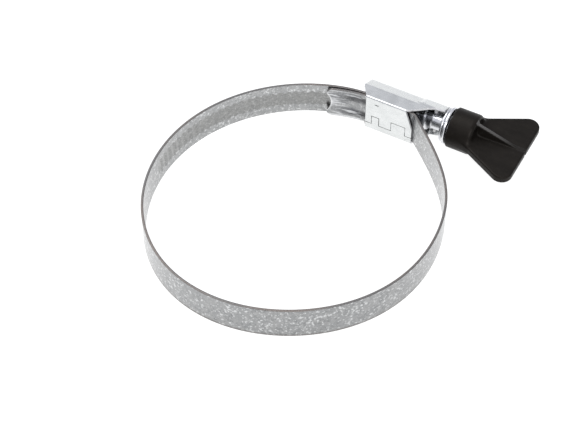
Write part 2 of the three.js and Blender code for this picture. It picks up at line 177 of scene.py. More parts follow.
# ---------- Housing ----------
SHEET = 0.55
PLATE_Y = 34.6
BASE_HALF = 5.4
SHOULDER_Y = 38.6
SHOULDER_HALF = 5.15
DOME_RADIUS = 4.0
HOOD_SWELL = 0.2
HOOD_FROM = 13.3
HOUSING_LEFT = -1.4
HOUSING_RIGHT = 19.6
PLATE_LEFT = 0.9
PLATE_RIGHT = 13.4
LEFT_END = [(34.8, PLATE_LEFT), (38.0, HOUSING_LEFT + 0.1), (38.5, HOUSING_LEFT)]      # y and x
RIGHT_END = [
    (34.8, PLATE_RIGHT), (35.0, PLATE_RIGHT + 0.2), (39.45, 17.3), (39.65, 18.2), (39.85, HOUSING_RIGHT),
]
PLATE_FOLD_RIGHT = 11.4          # the right end slants back to here at the upper fold
PLATE_SLANT_Z = 4                # and is square below here
LOWER_CUT = [(35.5, 0), (37.0, 0.9), (39.85, 0.9), (40.6, 0)]    # y, and how far the lower cheek is cut
PLATE_FOLD = 0.5                 # radii of the sheet's folds
SHOULDER_FOLD = 1.2
EDGE_BREAK = 0.07
LIP_FROM = 17.0
LIP_THICK = 0.7
LIP_BORE = 2.6
LIP_HALF_ANGLE = 97
LIP_CORNER = 0.15
SEAM_Z = 1.2
SEAM_TABS = [(2.6, 4.6, 3.8), (7.9, 11.7, 4.0)]          # start, end and top of each locking tab
SEAM_WIDTH = 0.16
SEAM_DEPTH = 0.38
SEAM_SHALLOW = 0.07              # where the sheet's edges are pressed tight together
CLINCH_MARK = (3.3, 4.3, 7.85, 8.1)                     # its ends in x, then in z
CLINCH_DEPTH = 0.16

# ---------- Studio, in metres and degrees ----------
CAMERA_PLACE = (0.11283, -0.22385, 0.2863)
CAMERA_PITCH = 40.62
CAMERA_TURN = 28.5
CAMERA_LENS = 99.16
SENSOR_WIDTH = 36
FLOOR_HALF = 3.0
FOLD_Y = 0.0273                  # the clamp lies on the housing's lower fold, here,
FRONT_Y = -0.0436                # and on the ring's far edge, here
FLOOR_CLEAR = 0.00002

washer_low, washer_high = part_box("thrust_washer")
ORIGIN = np.array([
    washer_low.x - WASHER_FROM * MM,
    (washer_low.y + washer_high.y) / 2 - AXIS_Y * MM,
    (washer_low.z + washer_high.z) / 2 - MID_Z * MM,
])


def smooth(value):
    """0 to 1, with both ends eased."""
    value = np.clip(value, 0, 1)
    return value * value * (3 - 2 * value)


# ---------- Mesh tools ----------

def make(name, points, faces, materials, face_material=None, sharp=35):
    """An object from points in ring-frame mm. Folds over `sharp` degrees stay crisp."""
    mesh = bpy.data.meshes.new(name)
    mesh.from_pydata((ORIGIN + np.asarray(points, float) * MM).tolist(), [], faces)
    for material in materials:
        mesh.materials.append(material)
    if face_material is not None:
        mesh.polygons.foreach_set("material_index", face_material)
    thing = bpy.data.objects.new(name, mesh)
    bpy.context.scene.collection.objects.link(thing)
    tidy(mesh, sharp)
    return thing


def tidy(mesh, sharp):
    """Faces turned outward, smooth but for the folds over `sharp` degrees."""
    work = bmesh.new()
    work.from_mesh(mesh)
    bmesh.ops.recalc_face_normals(work, faces=work.faces)
    work.to_mesh(mesh)
    work.free()
    mesh.shade_smooth()
    mesh.set_sharp_from_angle(angle=math.radians(sharp))


def store(mesh, name, values):
    """A value or vector for each vertex, which the materials read."""
    values = np.asarray(values, np.float32)
    kind, field = ("FLOAT", "value") if values.ndim == 1 else ("FLOAT_VECTOR", "vector")
    mesh.attributes.new(name, kind, "POINT").data.foreach_set(field, values.ravel())


def tube_faces(count, around):
    """Quads of a grid of `count` closed rings of `around` points."""
    i = np.arange(count - 1)[:, None]
    j = np.arange(around)[None, :]
    k = (j + 1) % around
    corners = [i * around + j, (i + 1) * around + j, (i + 1) * around + k, i * around + k]
    return np.stack(corners, -1).reshape(-1, 4)


def apply_modifiers(thing):
    view = bpy.context.evaluated_depsgraph_get()
    view.update()
    mesh = bpy.data.meshes.new_from_object(thing.evaluated_get(view))
    thing.modifiers.clear()
    thing.data = mesh


# ---------- Materials ----------

class Shader:
    """A node material, built one node at a time."""

    def __init__(self, name, color, metallic, roughness):
        self.material = bpy.data.materials.new(name)
        self.material.use_nodes = True
        self.tree = self.material.node_tree
        self.surface = self.tree.nodes["Principled BSDF"]
        self.surface.inputs["Base Color"].default_value = (*color, 1)
        self.surface.inputs["Metallic"].default_value = metallic
        self.surface.inputs["Roughness"].default_value = roughness

    def node(self, kind, inputs=(), **settings):
        made = self.tree.nodes.new("ShaderNode" + kind)
        for key, value in settings.items():
            setattr(made, key, value)
        for key, value in dict(inputs).items():
            self.put(made.inputs[key], value)
        return made

    def put(self, socket, value):
        if isinstance(value, bpy.types.NodeSocket):
            self.tree.links.new(value, socket)
        else:
            socket.default_value = value

    def place(self, source=None, scale=(1, 1, 1)):
        """Where a point is, in mm: along the band if `source` names a stored vector, else in the object."""
        if source:
            start, factor = self.node("Attribute", attribute_name=source).outputs["Vector"], 1
        else:
            start, factor = self.node("TexCoord").outputs["Object"], 1000
        scale = [share * factor for share in scale]
        return self.node("Mapping", {"Vector": start, "Scale": scale}).outputs["Vector"]

    def noise(self, where, scale, detail=3, rough=0.55, low=0.3, high=0.7):
        """Noise stretched so that `low` to `high` fills 0 to 1."""
        inputs = {"Vector": where, "Scale": scale, "Detail": detail, "Roughness": rough}
        return self.between(self.node("TexNoise", inputs).outputs["Fac"], low, high)

    def cells(self, where, scale):
        """A random value in each cell."""
        made = self.node("TexVoronoi", {"Vector": where, "Scale": scale})
        return self.node("SeparateColor", {"Color": made.outputs["Color"]}).outputs["Red"]

    def between(self, value, low, high, to_low=0.0, to_high=1.0):
        return self.node("MapRange", {
            "Value": value, "From Min": low, "From Max": high, "To Min": to_low, "To Max": to_high,
        }).outputs["Result"]

    def math(self, operation, a, b=0.5):
        made = self.node("Math", operation=operation)
        self.put(made.inputs[0], a)
        self.put(made.inputs[1], b)
        return made.outputs[0]

    def times(self, a, b):
        return self.math("MULTIPLY", a, b)

    def mix(self, factor, a, b):
        made = self.node("Mix", data_type="RGBA")
        self.put(made.inputs[0], factor)
        self.put(made.inputs[6], a if isinstance(a, bpy.types.NodeSocket) else (*a, 1))
        self.put(made.inputs[7], b if isinstance(b, bpy.types.NodeSocket) else (*b, 1))
        return made.outputs[2]

    def color(self, value):
        self.put(self.surface.inputs["Base Color"], value)

    def roughness(self, value):
        self.put(self.surface.inputs["Roughness"], value)

    def bump(self, height, distance, strength=1.0, after=None):
        inputs = {"Height": height, "Distance": distance * MM, "Strength": strength}
        if after:
            inputs["Normal"] = after
        made = self.node("Bump", inputs).outputs["Normal"]
        self.put(self.surface.inputs["Normal"], made)
        return made


def galvanised():
    """Hot-dip zinc on strip: spangle, light flecks and rolling marks, duller where the teeth are pressed,
    with painted shade in the housing's mouth, painted dark reflections and painted highlights on the tongue.
    """
    made = Shader("galvanised_band", (0.4, 0.4, 0.4), 1.0, 0.35)
    made.surface.inputs["Coat IOR"].default_value = 1.7
    made.surface.inputs["Coat Roughness"].default_value = 0.1
    where = made.place("strip")
    axes = made.node("SeparateXYZ", {"Vector": where}).outputs
    along, across, side = axes["X"], axes["Y"], axes["Z"]
    pressed = made.node("Attribute", attribute_name="pressed").outputs["Fac"]
    tongue = made.between(along, -0.3, -1.5)

    # spangle, clouds, rolling marks and light flecks
    cells = made.cells(where, 1.25)
    small = made.cells(where, 2.9)
    fine = made.noise(where, 1.9, 4, 0.65, 0.35, 0.65)
    flecks = made.noise(where, 1.7, 3, 0.55, 0.55, 0.64)
    cloud = made.noise(where, 0.22, 2, 0.5, 0.35, 0.65)
    streaks = made.noise(made.place("strip", (0.12, 4.5, 1)), 1.0, 3, 0.6, 0.3, 0.7)
    body = made.mix(cells, (0.155, 0.16, 0.16), (0.33, 0.33, 0.325))
    body = made.mix(made.times(small, 0.4), body, (0.2, 0.205, 0.21))
    body = made.mix(made.times(fine, 0.35), body, (0.44, 0.445, 0.445))
    body = made.mix(made.times(streaks, 0.25), body, (0.26, 0.265, 0.275))
    body = made.mix(made.times(cloud, 0.2), body, (0.31, 0.32, 0.33))
    strength = made.between(tongue, 0, 1, 0.8, 0.35)
    body = made.mix(made.times(flecks, strength), body, (0.66, 0.67, 0.67))

    # the toothed stretch: light margins beside it, dull in the hollows
    margin = made.times(made.between(pressed, 0.6, 0), made.between(along, 160, 168))
    margin = made.times(margin, made.between(small, 0, 1, 0.04, 0.26))
    body = made.mix(margin, body, (0.6, 0.61, 0.61))
    hollow = made.between(pressed, 0, 1, 0, 0.72)
    body = made.mix(hollow, body, made.mix(small, (0.165, 0.168, 0.165), (0.27, 0.27, 0.26)))

    # the tongue: two painted dark reflections that come out of the housing, wear, rubbed streaks, a painted
    # highlight along its lower edge
    worn = made.noise(made.place("strip", (0.2, 1.1, 1)), 1.0, 4, 0.65, 0.45, 0.62)
    coat = made.between(tongue, 0, 1, 0.5, 0.42)
    # two lengthwise painted dark reflections, strongest next to the housing
    for middle, depth in ((6.9, 0.9), (2.2, 1.0)):
        apart = made.math("ABSOLUTE", made.math("SUBTRACT", across, middle))
        run = made.times(made.between(apart, 1.6, 0.4), made.between(along, -7.5, -3.5))
        painted_reflection_streak = made.times(made.times(run, depth), made.between(along, 2.0, 1.0))
        painted_reflection_amount = made.times(painted_reflection_streak, made.between(worn, 0, 1, 0.75, 1))
        body = made.mix(painted_reflection_amount, body, (0.016, 0.017, 0.02))
        coat = made.times(coat, made.between(painted_reflection_streak, 0, 1, 1, 0.25))
    made.put(made.surface.inputs["Coat Weight"], coat)
    worn = made.times(worn, tongue)
    body = made.mix(made.times(worn, 0.5), body, (0.12, 0.125, 0.14))
    rubbed = made.noise(made.place("strip", (0.16, 1.3, 1)), 1.1, 3, 0.6, 0.52, 0.66)
    body = made.mix(made.times(made.times(rubbed, tongue), 0.8), body, (0.72, 0.73, 0.745))
    # painted highlight along the tongue's lower edge
    painted_edge_highlight = made.times(tongue, made.between(across, 0.8, 0.4, 0, 0.8))
    body = made.mix(painted_edge_highlight, body, (0.72, 0.73, 0.74))

    # painted shade where the strip leaves the housing, a brown lower edge outside, a painted highlight on the
    # tongue's notch rim
    painted_mouth_shade = made.times(made.between(along, 10.8, 11.3), made.between(along, 12.9, 12.3))
    painted_mouth_shade = made.times(painted_mouth_shade, made.between(across, 4.0, 6.0, 0.15, 1))
    # painted shade in the housing's mouth, weaker towards the strip's lower edge
    body = made.mix(made.times(painted_mouth_shade, 0.85), body, (0.03, 0.03, 0.035))
    lower = made.times(made.between(side, 0, 0.5), made.between(across, 0.8, 0.2, 0, 0.7))
    body = made.mix(lower, body, (0.1, 0.082, 0.068))
    # where the stored value falls below zero, on the tongue's notch rim, it gets a painted highlight
    made.color(made.mix(made.between(pressed, -0.15, -0.9, 0, 0.5), body, (0.8, 0.81, 0.81)))

    made.roughness(made.between(made.math("ADD", fine, cells), 0.0, 2.0, 0.24, 0.42))
    grain = made.bump(fine, 0.016, 0.7)
    made.bump(streaks, 0.006, 0.5, grain)
    return made.material


def slit_edge():
    """The strip's slit edges: bare steel, dark, brown in places, with the shear's marks across."""
    made = Shader("slit_edge", (0.1, 0.095, 0.09), 0.9, 0.45)
    marks = made.noise(made.place("strip", (3.0, 0.6, 1.2)), 1.6, 3, 0.6)
    stain = made.noise(made.place("strip", (0.05, 0.3, 0.3)), 1.0, 3, 0.6, 0.4, 0.6)
    tone = made.mix(stain, (0.138, 0.137, 0.138), (0.168, 0.145, 0.134))
    made.color(made.mix(made.times(marks, 0.45), tone, (0.2, 0.19, 0.18)))
    made.roughness(made.between(marks, 0, 1, 0.38, 0.55))
    made.bump(marks, 0.012, 0.6)
    return made.material


def plated_sheet():
    """Bright zinc on the folded housing: nearly white, with soft clouds, faint lines and small scuffs."""
    made = Shader("plated_housing", (0.8, 0.8, 0.82), 1.0, 0.25)
    where = made.place()
    cloud = made.noise(where, 0.35, 3, 0.55)
    lines = made.noise(made.place(scale=(0.08, 2.2, 2.2)), 1.0, 4, 0.6)
    scuffs = made.noise(made.place(scale=(0.7, 1.6, 1.6)), 1.3, 5, 0.7, 0.58, 0.7)
    tone = made.mix(cloud, (0.665, 0.68, 0.675), (0.76, 0.775, 0.77))
    tone = made.mix(made.times(lines, 0.35), tone, (0.6, 0.615, 0.62))
    made.color(made.mix(made.times(scuffs, 0.6), tone, (0.47, 0.485, 0.49)))
    made.roughness(made.between(made.math("ADD", cloud, scuffs), 0, 2, 0.2, 0.42))
    made.bump(lines, 0.006, 0.5, made.bump(cloud, 0.02, 0.4))
    return made.material


def sheared_sheet():
    """Cut edges of the housing: duller, with the tool's marks."""
    made = Shader("housing_edge", (0.6, 0.6, 0.61), 0.45, 0.4)
    marks = made.noise(made.place(), 3.0, 3, 0.6)
    made.color(made.mix(marks, (0.52, 0.52, 0.525), (0.74, 0.74, 0.75)))
    made.roughness(made.between(marks, 0, 1, 0.3, 0.5))
    made.bump(marks, 0.012, 0.6)
    return made.material


def seam_gap():
    """The seam's narrow gap in the plate: dark where it is open, brighter where it is pressed together."""
    made = Shader("seam_gap", (0.2, 0.2, 0.2), 1.0, 0.45)
    where = made.place()
    gaps = made.noise(where, 0.5, 2, 0.5, 0.4, 0.55)
    marks = made.noise(where, 3.0, 3, 0.6)
    made.color(made.mix(gaps, (0.45, 0.46, 0.46), made.mix(marks, (0.02, 0.02, 0.02), (0.09, 0.09, 0.09))))
    made.roughness(made.between(marks, 0, 1, 0.35, 0.55))
    made.bump(marks, 0.012, 0.6)
    return made.material


def plated_turning(name):
    """Bright zinc on turned steel: glossy, with fine tool rings and painted shade deep in the thread."""
    made = Shader(name, (0.72, 0.73, 0.76), 1.0, 0.18)
    rings = made.noise(made.place(scale=(9.0, 0.5, 0.5)), 1.0, 3, 0.6)
    cloud = made.noise(made.place(), 0.9, 3, 0.6)
    tone = made.mix(cloud, (0.72, 0.73, 0.76), (0.86, 0.865, 0.875))
    tone = made.mix(made.times(rings, 0.25), tone, (0.55, 0.56, 0.6))
    # painted shade in the thread's roots, read from the stored deep value
    deep = made.node("Attribute", attribute_name="deep").outputs["Fac"]
    made.color(made.mix(made.times(deep, 0.85), tone, (0.07, 0.072, 0.08)))
    made.roughness(made.between(made.math("ADD", cloud, rings), 0, 2, 0.12, 0.28))
    made.bump(rings, 0.008, 0.5)
    return made.material


def moulded_nylon():
    """Near-black moulded nylon: fine spark-eroded grain, slight flow marks, a few rubbed patches and a
    painted highlight along the fin's crest.
    """
    made = Shader("key_plastic", (0.006, 0.005, 0.004), 0.0, 0.5)
    made.surface.inputs["Specular IOR Level"].default_value = 0.13
    made.surface.inputs["Specular Tint"].default_value = (1.0, 0.93, 0.86, 1)
    where = made.place()
    grain = made.noise(where, 4.2, 3, 0.6)
    flow = made.noise(made.place(scale=(0.25, 0.6, 0.6)), 1.0, 3, 0.5)
    rubbed = made.noise(where, 0.7, 5, 0.7, 0.58, 0.7)
    tone = made.mix(flow, (0.0046, 0.0039, 0.0032), (0.0085, 0.0072, 0.006))
    tone = made.mix(made.times(rubbed, 0.5), tone, (0.016, 0.0145, 0.013))
    # painted highlight along the fin's crest, strongest near the hub
    crest_highlight = made.node("Attribute", attribute_name="crest_highlight").outputs["Fac"]
    made.color(made.mix(made.times(crest_highlight, 0.8), tone, (0.1, 0.098, 0.096)))
    made.roughness(made.between(made.math("ADD", grain, flow), 0, 2, 0.34, 0.5))
    made.bump(grain, 0.02, 0.5, made.bump(flow, 0.03, 0.3))
    return made.material


ZINC = galvanised()
SLIT = slit_edge()
SHEET_ZINC = plated_sheet()
SHEET_EDGE = sheared_sheet()
SEAM_GAP = seam_gap()
SCREW_ZINC = plated_turning("plated_screw")
WASHER_ZINC = plated_turning("plated_washer")
NYLON = moulded_nylon()


# ---------- The line of the band ----------

def ring_points(degrees):
    """The open ring: a circle with a few low lobes, because it isn't quite round."""
    angle = np.radians(np.atleast_1d(degrees))
    radius = RING_RADIUS + BAND_THICK / 2
    for count, height, toward in RING_LOBES:
        radius = radius + height * np.cos(count * (angle - math.radians(toward)))
    return np.stack([radius * np.cos(angle), radius * np.sin(angle)], -1)


def unit(vector):
    return np.asarray(vector, float) / np.linalg.norm(vector)


def eased(start, start_heading, end, end_heading):
    """A cubic curve that leaves and arrives along the given headings."""
    reach = np.linalg.norm(end - start) / 3
    a, b = start + start_heading * reach, end - end_heading * reach
    t = np.linspace(0, 1, 1200)[:, None]
    return start * (1 - t) ** 3 + 3 * a * t * (1 - t) ** 2 + 3 * b * t * t * (1 - t) + end * t ** 3


def band_line():
    """Distances, points and headings along the middle of the strip."""
    turn = math.radians(BEND_ANGLE)
    angle = np.linspace(math.pi / 2, math.pi / 2 - turn, 200)
    centre = np.array([BEND_X, FIXED_Y - BEND_RADIUS])
    bend = centre + BEND_RADIUS * np.stack([np.cos(angle), np.sin(angle)], -1)
    ring = ring_points(np.linspace(RING_FROM, RING_TO, 12000))
    flat = np.array([[FLAT_FROM, TOOTHED_Y], [TOOTHED_TIP_X, TOOTHED_Y]])
    exit_heading = np.array([math.cos(turn), -math.sin(turn)])
    points = np.vstack([
        [[0, FIXED_Y]],
        bend,
        eased(bend[-1], exit_heading, ring[0], unit(ring[1] - ring[0])),
        ring,
        eased(ring[-1], unit(ring[-1] - ring[-2]), flat[0], np.array([1.0, 0])),
        flat,
    ])
    steps = np.linalg.norm(np.diff(points, axis=0), axis=1)
    points = points[np.r_[True, steps > 1e-9]]
    along = np.r_[0, np.cumsum(steps[steps > 1e-9])]
    even = np.linspace(0, along[-1], int(along[-1] / PATH_STEP))
    points = np.stack([np.interp(even, along, points[:, k]) for k in (0, 1)], -1)
    heading = np.gradient(points, axis=0)
    return even, points, heading / np.linalg.norm(heading, axis=1)[:, None]


ALONG, LINE, HEADING = band_line()
PATH_LENGTH = ALONG[-1]
TONGUE_JOIN = PATH_LENGTH - TOOTHED_TIP_X - TONGUE_EASE      # the tongue follows the toothed end up to here


def band_frame(distance):
    """Point and outward normal on the strip. Negative distances are the tongue, inside the toothed end."""
    tongue = distance < 0
    inner = TONGUE_JOIN + np.minimum(distance + TONGUE_EASE, 0)
    look = np.where(tongue, inner, distance)
    point = np.stack([np.interp(look, ALONG, LINE[:, k]) for k in (0, 1)], -1)
    heading = np.stack([np.interp(look, ALONG, HEADING[:, k]) for k in (0, 1)], -1)
    heading /= np.linalg.norm(heading, axis=-1)[..., None]
    normal = np.stack([-heading[..., 1], heading[..., 0]], -1)
    droop = TONGUE_DROOP * np.clip(-distance / TONGUE_LENGTH, 0, 1)
    point = point - normal * np.where(tongue, TOOTHED_Y - FIXED_Y + droop, 0)[..., None]
    near = np.clip((distance + TONGUE_EASE) / TONGUE_EASE, 0, 1)
    straight = np.stack([distance, np.full_like(distance, FIXED_Y)], -1)
    joined = tongue & (distance > -TONGUE_EASE)
    point = np.where(joined[..., None], point * (1 - near[..., None]) + straight * near[..., None], point)
    return point, normal


# ---------- Band pieces ----------

def strip_section():
    """[z, offset] pairs round the strip's section, and how many make up a face and an edge."""
    inner_z = BAND_WIDTH - EDGE_ROUND
    near_edge = np.linspace(0.5, 1.7, 4)
    z = np.r_[EDGE_ROUND, near_edge, np.arange(2.0, 7.01, 0.25), np.linspace(7.3, 8.5, 4), inner_z]
    half = BAND_THICK / 2
    shoulder = half - EDGE_ROUND
    turn = np.radians([22.5, 45, 67.5])
    top = [(inner_z + EDGE_ROUND * math.sin(a), shoulder + EDGE_ROUND * math.cos(a)) for a in turn]
    top += [(BAND_WIDTH, shoulder), (BAND_WIDTH, -shoulder)]
    top += [(a, -b) for a, b in reversed(top[:3])]
    bottom = [(BAND_WIDTH - a, b) for a, b in reversed(top)]
    ring = [(a, half) for a in z] + top + [(a, -half) for a in z[::-1]] + bottom[::-1]
    return np.array(ring), len(z), len(top)


SECTION, FACE_ROWS, EDGE_ROWS = strip_section()


def teeth(distance, z):
    """How far a point is up a tooth, down the hollow behind it and in the pressed stretch, each 0 to 1."""
    last = PATH_LENGTH - PITCH
    phase = (distance + TOOTH_SLANT * (z - MID_Z) - last) / PITCH
    apart = np.abs(phase - np.round(phase)) * PITCH
    up = smooth((TOOTH_BASE / 2 - apart) / ((TOOTH_BASE - TOOTH_TOP) / 2))
    across = smooth((TOOTH_SPAN / 2 - np.abs(z - MID_Z)) / 0.4)
    first = PATH_LENGTH - TEETH_LENGTH
    length = (distance > first + TOOTH_BASE) & (distance < last + TOOTH_BASE)
    scallop = TOOTH_SPAN / 2 - 0.25 + PRESSED_EDGE * np.cos(2 * math.pi * phase)
    strip = smooth((scallop - np.abs(z - MID_Z)) / 0.3) * smooth((distance - first) / 1.2)
    strip = strip * smooth((PATH_LENGTH - 0.4 - distance) / 0.5)
    hollow = strip * (0.45 + 0.55 * np.cos(2 * math.pi * phase))
    return up * across * length, hollow, strip


def tongue_start(z):
    """The tongue's fish-tail end: a hollow arc between two horns, with rounded corners outside them."""
    off = np.abs(z - MID_Z)
    inside = np.minimum(off, TONGUE_HORN)
    notch = TONGUE_NOTCH_DEPTH - TONGUE_NOTCH_RADIUS + np.sqrt(TONGUE_NOTCH_RADIUS ** 2 - inside ** 2)
    past = np.clip((off - TONGUE_HORN) / (MID_Z - TONGUE_HORN), 0, 1)
    corner = TONGUE_CORNER * (1 - np.sqrt(1 - past ** 2))
    return -TONGUE_EASE - TONGUE_LENGTH + np.maximum(notch, 0) + corner


def stations(start, end):
    """Distances along the band, close together where there are teeth or bends."""
    toothed = PATH_LENGTH - TEETH_LENGTH
    stops = sorted({start, end, *[s for s in (0.0, BEND_FROM, BEND_TO, toothed) if start < s < end]})
    runs = []
    for a, b in zip(stops, stops[1:]):
        bent = BEND_FROM <= a < BEND_TO
        step = TOOTHED_STEP if a >= toothed else BEND_STEP if bent else PLAIN_STEP
        runs.append(np.linspace(a, b, max(2, int(math.ceil((b - a) / step)) + 1))[:-1])
    return np.r_[np.concatenate(runs), end]


def band_piece(index, start, end):
    """One visible length of band, closed at both ends."""
    z, out = SECTION[:, 0], SECTION[:, 1]
    if index == 0:
        neck = start + 3.0
        rest = stations(neck, end)
        share = np.linspace(0, 1, 16)[:-1, None]
        distance = np.vstack([tongue_start(z) * (1 - share) + neck * share, np.tile(rest[:, None], len(z))])
    else:
        distance = np.tile(stations(start, end)[:, None], len(z))
    z, out = np.tile(z, (len(distance), 1)), np.tile(out, (len(distance), 1))
    up, hollow, pressed = teeth(distance, z)
    face = np.abs(np.abs(out) - BAND_THICK / 2) < 1e-6
    lift = np.where(face, np.where(out > 0, up * TOOTH_HEIGHT, hollow * DIMPLE_DEPTH), 0)
    bead = np.exp(-((np.abs(z - MID_Z) - BEAD_OFF) / BEAD_WIDTH) ** 2)
    bead = bead * smooth((-1.5 - distance) / 3) * smooth((distance + 9) / 1.5)
    lift = lift - np.where(face & (out < 0), TONGUE_BEAD * bead, 0)
    point, normal = band_frame(distance)
    flat = point + normal * (out + lift)[..., None]
    points = np.dstack([flat, z])
    count, around = distance.shape
    faces = tube_faces(count, around)
    across = np.tile(np.arange(around), count - 1)
    last = 2 * FACE_ROWS + EDGE_ROWS - 1
    on_edge = ((across >= FACE_ROWS - 1) & (across < FACE_ROWS + EDGE_ROWS)) | (across >= last)
    quads, kinds = faces.tolist(), on_edge.astype(int).tolist()
    for first in (0, (count - 1) * around):
        # outer row k faces inner row mirror[k], and the two edges close the ends of the cap
        mirror = [last - k for k in range(FACE_ROWS)]
        for k in range(FACE_ROWS - 1):
            quads.append([first + k, first + k + 1, first + mirror[k + 1], first + mirror[k]])
        quads.append([first + k for k in range(FACE_ROWS - 1, FACE_ROWS + EDGE_ROWS + 1)])
        quads.append([first + k for k in range(last, around)] + [first])
        kinds += [1] * (FACE_ROWS + 1)
    piece = make(f"band_{index + 1}", points.reshape(-1, 3), quads, [ZINC, SLIT], kinds, 40)
    store(piece.data, "strip", np.stack([distance, z, out * 3], -1).reshape(-1, 3))
    # a painted highlight on the rim of the tongue's notch, stored below zero with the pressed stretch
    rim = np.exp(-((distance - tongue_start(z) - 0.12) / 0.3) ** 2) * (np.abs(z - MID_Z) < TONGUE_HORN)
    store(piece.data, "pressed", (pressed - rim).ravel())
    return piece


def hinge_side(distance):
    """The world place of the strip's middle at a distance along it."""
    point, _ = band_frame(np.array([distance]))
    return ORIGIN + np.array([point[0, 0], point[0, 1], MID_Z]) * MM


def build_band():
    starts = [float(tongue_start(np.array([MID_Z]))[0] - TONGUE_NOTCH_DEPTH), *JOINS]
    ends = [*JOINS, PATH_LENGTH]
    for index, ((hinge, before, after), nodes) in enumerate(zip(HINGES, STANDS_FOR)):
        near = starts[index] + (JOIN_GAP / 2 if index else 0)
        far = ends[index] - (JOIN_GAP / 2 if index < len(JOINS) else 0)
        piece = band_piece(index, near, far)
        hinge_side(hinge - BLEND_REACH)
        hinge_side(hinge + BLEND_REACH)
        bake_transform(piece)
        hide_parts(*nodes)


# ---------- Housing ----------

def rounded_outline(corners, step):
    """A closed outline with each corner [y, z, radius] rounded, sampled every `step` or finer."""
    points = []
    count = len(corners)
    for i, (y, z, radius) in enumerate(corners):
        here = np.array([y, z])
        back = unit(np.array(corners[i - 1][:2]) - here)
        ahead = unit(np.array(corners[(i + 1) % count][:2]) - here)
        half = math.acos(float(np.clip(back @ ahead, -1, 1))) / 2
        if radius <= 0 or abs(half - math.pi / 2) < 1e-4:
            points.append(here)
            continue
        centre = here + unit(back + ahead) * radius / math.sin(half)
        a, b = here + back * radius / math.tan(half), here + ahead * radius / math.tan(half)
        from_angle = math.atan2(*(a - centre)[::-1])
        sweep = (math.atan2(*(b - centre)[::-1]) - from_angle + math.pi) % (2 * math.pi) - math.pi
        for t in np.linspace(0, 1, 8):
            angle = from_angle + sweep * t
            points.append(centre + radius * np.array([math.cos(angle), math.sin(angle)]))
    closed = np.vstack([points, points[:1]])
    out = []
    for a, b in zip(closed, closed[1:]):
        pieces = max(1, int(math.ceil(np.linalg.norm(b - a) / step)))
        out += [a + (b - a) * k / pieces for k in range(pieces)]
    return np.array(out)


def arch_outline():
    """Outer outline of the folded sheet in y and z: plate, leaning cheeks and dome."""
    lean = math.atan2(SHOULDER_HALF - DOME_RADIUS, AXIS_Y - SHOULDER_Y)
    steps = 30
    dome = []
    for i in range(steps + 1):
        angle = (math.pi / 2 - lean) * (2 * i / steps - 1)
        dome.append((AXIS_Y + DOME_RADIUS * math.cos(angle), MID_Z + DOME_RADIUS * math.sin(angle), 0))
    return rounded_outline([
        (PLATE_Y, MID_Z - BASE_HALF, PLATE_FOLD),
        (SHOULDER_Y, MID_Z - SHOULDER_HALF, SHOULDER_FOLD),
        *dome,
        (SHOULDER_Y, MID_Z + SHOULDER_HALF, SHOULDER_FOLD),
        (PLATE_Y, MID_Z + BASE_HALF, PLATE_FOLD),
    ], 0.35)


def end_limits(y, z):
    """Where the housing ends: slantwise with height, further back at the upper fold and the lower cheek."""
    left = np.interp(y, *zip(*LEFT_END))
    right = np.interp(y, *zip(*RIGHT_END))
    back = np.interp(z, [PLATE_SLANT_Z, MID_Z + BASE_HALF], [0, PLATE_RIGHT - PLATE_FOLD_RIGHT])
    lower = np.interp(z, [2.5, 3.5], [1, 0]) * np.interp(y, *zip(*LOWER_CUT))
    return left, right - lower - back * np.interp(y, [34.8, 39.45], [1, 0])


def lip_points():
    """The lip inside the hood that holds the thread back: a bent bar, open towards the hose."""
    angles = np.radians(np.linspace(-LIP_HALF_ANGLE, LIP_HALF_ANGLE, 60))
    low, high = LIP_BORE, DOME_RADIUS + HOOD_SWELL - SHEET + 0.1
    near, far = LIP_FROM, LIP_FROM + LIP_THICK
    profile = [
        (near, low + LIP_CORNER), (near + LIP_CORNER, low), (far - LIP_CORNER, low), (far, low + LIP_CORNER),
        (far, high), (near, high),
    ]
    points = [[x, AXIS_Y + r * math.cos(a), MID_Z + r * math.sin(a)] for a in angles for x, r in profile]
    return np.array(points), len(angles), len(profile)


def build_housing():
    outline = arch_outline()
    around = len(outline)
    heading = np.roll(outline, -1, 0) - np.roll(outline, 1, 0)
    heading /= np.linalg.norm(heading, axis=1)[:, None]
    normal = np.stack([heading[:, 1], -heading[:, 0]], -1)
    if ((outline - outline.mean(0)) * normal).sum() < 0:
        normal = -normal
    left, right = end_limits(outline[:, 0], outline[:, 1])
    share = np.linspace(0, 1, 60)[:, None]
    x = left * (1 - share) + right * share
    swell = HOOD_SWELL * smooth((x - HOOD_FROM + 0.25) / 0.5)
    swell = swell * smooth((outline[:, 0] - SHOULDER_Y + 0.6) / 1.6)
    shells = []
    for offset in (swell, swell - SHEET):
        yz = outline[None] + normal[None] * offset[..., None]
        shells.append(np.dstack([x, yz[..., 0], yz[..., 1]]))
    count = len(share)
    outer = tube_faces(count, around)
    inner = outer[:, ::-1] + count * around
    quads = outer.tolist() + inner.tolist()
    kinds = [0] * len(quads)
    j = np.arange(around)
    k = (j + 1) % around
    for row in (0, (count - 1) * around):
        rim = np.stack([row + j, row + k, row + k + count * around, row + j + count * around], -1)
        quads += rim.tolist()
        kinds += [1] * around
    points = np.vstack([shell.reshape(-1, 3) for shell in shells])
    lip, lip_count, lip_around = lip_points()
    base = len(points)
    quads += (tube_faces(lip_count, lip_around) + base).tolist()
    for first in (base, base + (lip_count - 1) * lip_around):
        quads.append([first + i for i in range(lip_around)])
    kinds += [1] * ((lip_count - 1) * lip_around + 2)
    materials = [SHEET_ZINC, SHEET_EDGE, SEAM_GAP]
    piece = make("housing_sheet", np.vstack([points, lip]), quads, materials, kinds, 30)
    round_edges(piece, EDGE_BREAK)
    cut_seam(piece)
    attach(piece, "housing")
    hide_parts("housing")


